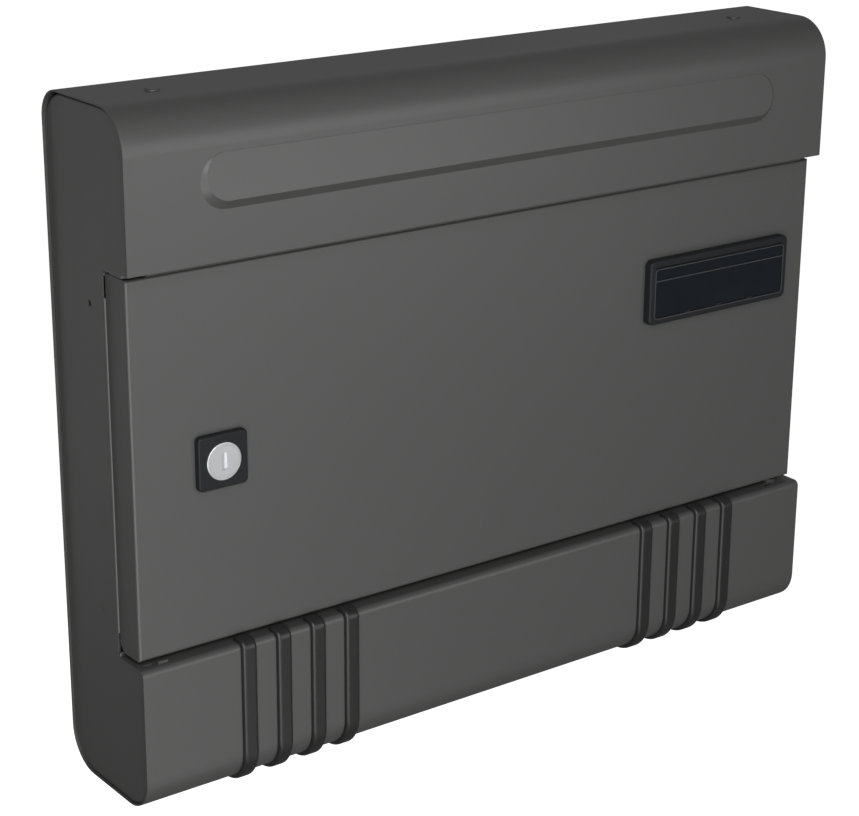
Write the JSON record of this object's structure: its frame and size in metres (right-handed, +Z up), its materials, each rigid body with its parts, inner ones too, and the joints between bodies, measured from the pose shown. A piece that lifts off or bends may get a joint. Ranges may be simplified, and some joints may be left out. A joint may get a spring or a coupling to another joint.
{
  "type": "wall mounted mailbox",
  "caption": "Wide wall mounted steel mailbox with a lifting hood flap over the mail inlet, a side hinged locking door, a nameplate and bumper strips round the lower box.",
  "frame": {"origin": "centre of the four wall screw holes on the back face", "axes": "+Z up, -Y out of the front, +Y into the wall, +X to the viewer's right when facing the door"},
  "size_m": [0.415, 0.0751, 0.3306],
  "materials": {
    "paint": "satin anthracite powder coat, fine texture",
    "zinc_steel": "zinc plated",
    "lock_metal": "nickel plated, fine turned face",
    "strip_plastic": "moulded, glossy",
    "black_plastic": "moulded, satin",
    "clear_plastic": "clear moulded acrylic",
    "card": "dark blank insert",
    "rubber": "matte",
    "nylon": "natural nylon"
  },
  "bodies": {
    "case": {"case_shell": "paint", "side_panel_left": "paint", "side_panel_right": "paint", "door_lintel": "paint", "hinge_rod": "zinc_steel", "door_pin_lower": "zinc_steel", "door_pin_upper": "zinc_steel", "door_washers": "nylon", "door_rest": "paint", "bumper_strips_left": "strip_plastic", "bumper_strips_right": "strip_plastic", "flap_buffers": "rubber", "ledge_brackets": "paint", "side_rivets": "paint"},
    "flap": {"flap_hood": "paint", "flap_stiffener": "paint", "flap_rivets": "paint"},
    "door": {"door_panel": "paint", "door_lug_lower": "paint", "door_lug_upper": "paint", "lock_plate": "black_plastic", "lock_housing": "lock_metal", "lock_nut": "zinc_steel", "nameplate_frame": "black_plastic", "nameplate_window": "clear_plastic", "name_card": "card", "nameplate_push_nuts": "zinc_steel"},
    "lock_core": {"lock_plug": "lock_metal", "keyhole_shutter": "zinc_steel", "lock_cam": "zinc_steel", "cam_washer": "zinc_steel", "cam_screw": "zinc_steel"}
  },
  "joints": [
    {"name": "flap_hinge", "type": "hinge", "parent": "case", "child": "flap", "pos_m": [0, -0.00581, 0.15878], "axis": [-1, 0, 0], "range_deg": [0, 60]},
    {"name": "door_hinge", "type": "hinge", "parent": "case", "child": "door", "pos_m": [0.195, -0.0603, 0], "axis": [0, 0, 1], "range_deg": [0, 110]},
    {"name": "lock_turn", "type": "hinge", "parent": "door", "child": "lock_core", "pos_m": [-0.1608, -0.0652, 0], "axis": [0, -1, 0], "range_deg": [0, 90]}
  ]
}
